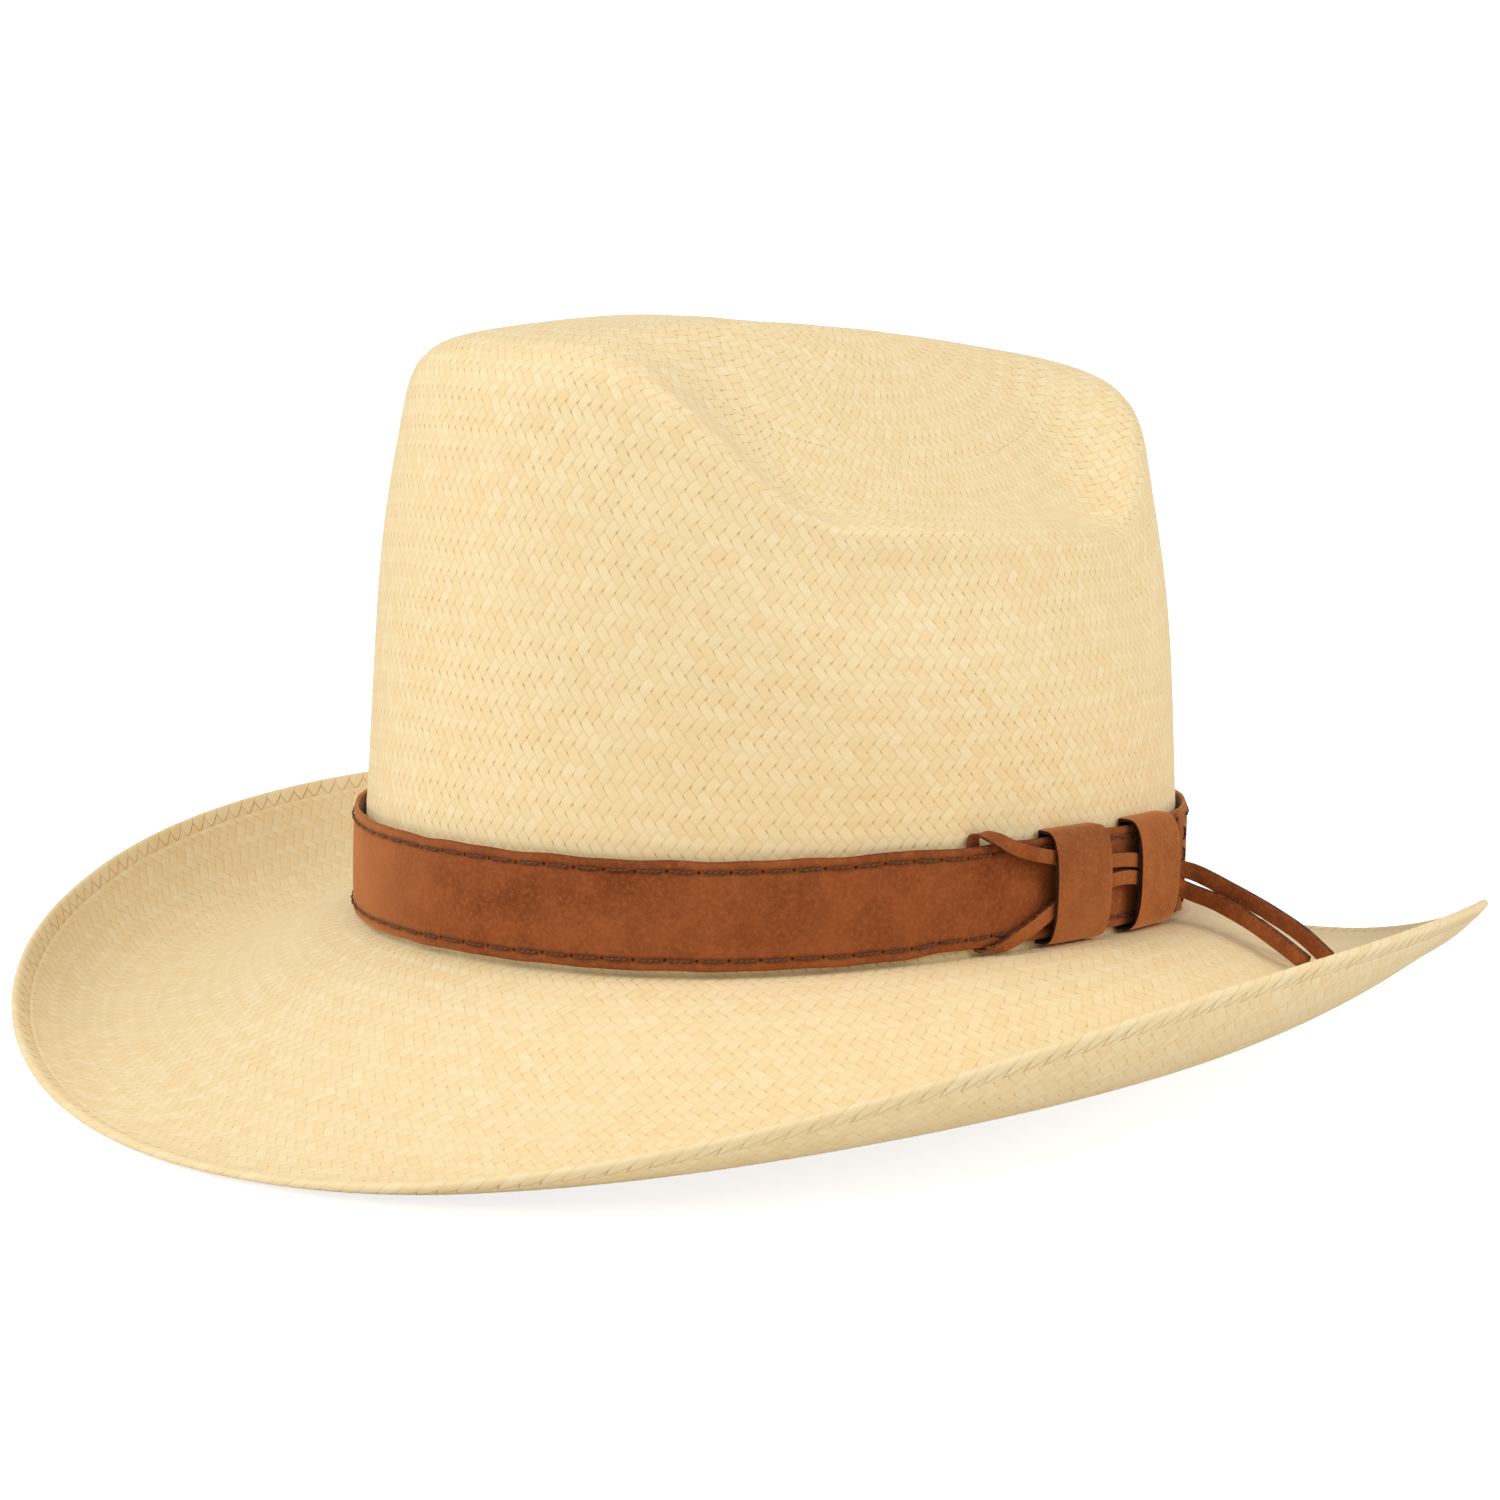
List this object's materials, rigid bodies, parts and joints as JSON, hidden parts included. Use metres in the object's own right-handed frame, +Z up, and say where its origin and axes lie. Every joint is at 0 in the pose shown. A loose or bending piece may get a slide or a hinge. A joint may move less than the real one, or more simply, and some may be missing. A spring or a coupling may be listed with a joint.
{
  "type": "panama hat",
  "caption": "Wide-brimmed woven straw hat with a dented crown, rolled sides, and a stitched suede band whose lace runs through sliding keepers.",
  "frame": {"origin": "bottom centre of the hat's bounding box: under the middle of the brim, at the height of the brim's lowest point", "axes": "+Z up through the crown, -Y towards the wearer's front, +X towards the wearer's left"},
  "size_m": [0.3462, 0.3734, 0.1832],
  "materials": {
    "straw": "woven toquilla straw, satin",
    "suede": "brushed suede",
    "suede_light": "brushed suede",
    "lace_suede": "suede lace",
    "thread_brown": "waxed thread",
    "band_lining": "woven backing",
    "sweatband_leather": "smooth leather",
    "tape": "woven cotton tape",
    "ribbon": "grosgrain ribbon",
    "label_cloth": "plain woven label"
  },
  "bodies": {
    "hat": {"straw_body": "straw", "sweatband": "sweatband_leather", "sweatband_tape": "tape", "sweatband_reed": "tape", "sweatband_seam_thread": "thread_brown", "sweatband_back_tape": "ribbon", "sweatband_bow": "ribbon", "size_label": "label_cloth", "hatband_lining": "band_lining", "hatband_face": "suede", "hatband_stitch_upper": "thread_brown", "hatband_stitch_lower": "thread_brown", "hatband_end_fold": "suede", "hatband_end_stitch": "thread_brown", "lace_loop": "lace_suede"},
    "keeper_front": {"keeper_front": "suede_light"},
    "keeper_rear": {"keeper_rear": "suede_light"},
    "lace_tail_upper": {"lace_tail_upper": "lace_suede"},
    "lace_tail_lower": {"lace_tail_lower": "lace_suede"}
  },
  "joints": [
    {"name": "keeper_front_slide", "type": "hinge", "parent": "hat", "child": "keeper_front", "pos_m": [-0.03789, -0.0015, 0.04182], "axis": [0, 0, 1], "range_deg": [-0.6, 2.5]},
    {"name": "keeper_rear_slide", "type": "hinge", "parent": "hat", "child": "keeper_rear", "pos_m": [-0.03165, -0.00028, 0.04182], "axis": [0, 0, 1], "range_deg": [-2.5, 0.2]},
    {"name": "lace_tail_upper_lift", "type": "hinge", "parent": "hat", "child": "lace_tail_upper", "pos_m": [0.08414, 0.04737, 0.05521], "axis": [0.234, -0.9722, 0], "range_deg": [0, 30]},
    {"name": "lace_tail_lower_swing", "type": "hinge", "parent": "hat", "child": "lace_tail_lower", "pos_m": [0.08414, 0.04737, 0.05111], "axis": [0, 0, 1], "range_deg": [-24, 0]}
  ]
}
